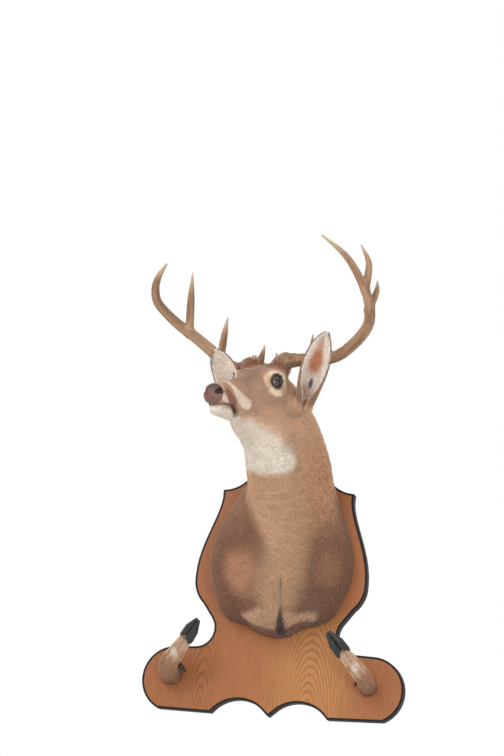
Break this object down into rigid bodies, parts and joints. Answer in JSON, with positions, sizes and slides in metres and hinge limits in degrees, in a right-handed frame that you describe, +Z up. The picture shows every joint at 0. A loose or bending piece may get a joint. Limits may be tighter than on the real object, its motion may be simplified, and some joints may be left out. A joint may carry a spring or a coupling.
{
  "type": "deer shoulder mount",
  "caption": "White-tailed deer shoulder mount with antlers, head turned to one side, on a lobed wooden wall plaque with two forefeet set as hooks.",
  "frame": {"origin": "middle of the plaque's flat back, which is the plane y = 0; x = 0 is the plaque's own middle", "axes": "-Y out from the wall, +X to the viewer's right (the deer's left), +Z up"},
  "size_m": [0.6179, 0.5033, 0.9995],
  "materials": {
    "coat": "short hair coat of a deer, flat to the skin",
    "throat_coat": "cream hair of the jaw and throat",
    "shoulder_coat": "darker grey-brown hair of the shoulders",
    "ear_coat": "thin hair, white and orange inside the ear",
    "nose_leather": "damp-looking bare nose skin",
    "eye_glass": "polished dark brown glass eye",
    "antler": "antler bone, rough at the base and smooth at the tips",
    "hoof_horn": "black hoof horn, polished",
    "veneer": "satin reddish veneer with a black painted edge"
  },
  "bodies": {
    "root": {"plaque": "veneer", "head": "coat", "muzzle": "coat", "neck": "coat", "brisket": "coat", "lower_jaw": "throat_coat", "shoulder_left": "shoulder_coat", "shoulder_right": "shoulder_coat", "ear_left": "ear_coat", "ear_right": "ear_coat", "leg_left": "coat", "leg_right": "coat", "nose_pad": "nose_leather", "eye_left": "eye_glass", "eye_right": "eye_glass", "antler_left_beam_base": "antler", "antler_left_beam_middle": "antler", "antler_left_beam_upper": "antler", "antler_left_beam_end": "antler", "antler_left_brow_tine": "antler", "antler_left_second_tine": "antler", "antler_left_third_tine": "antler", "antler_left_fourth_tine": "antler", "antler_right_beam_base": "antler", "antler_right_beam_middle": "antler", "antler_right_beam_upper": "antler", "antler_right_brow_tine": "antler", "antler_right_second_tine": "antler", "antler_right_third_tine": "antler", "hoof_left_outer": "hoof_horn", "hoof_left_inner": "hoof_horn", "hoof_right_outer": "hoof_horn", "hoof_right_inner": "hoof_horn", "dewclaw_left_outer": "hoof_horn", "dewclaw_left_inner": "hoof_horn", "dewclaw_right_outer": "hoof_horn", "dewclaw_right_inner": "hoof_horn"}
  },
  "joints": []
}
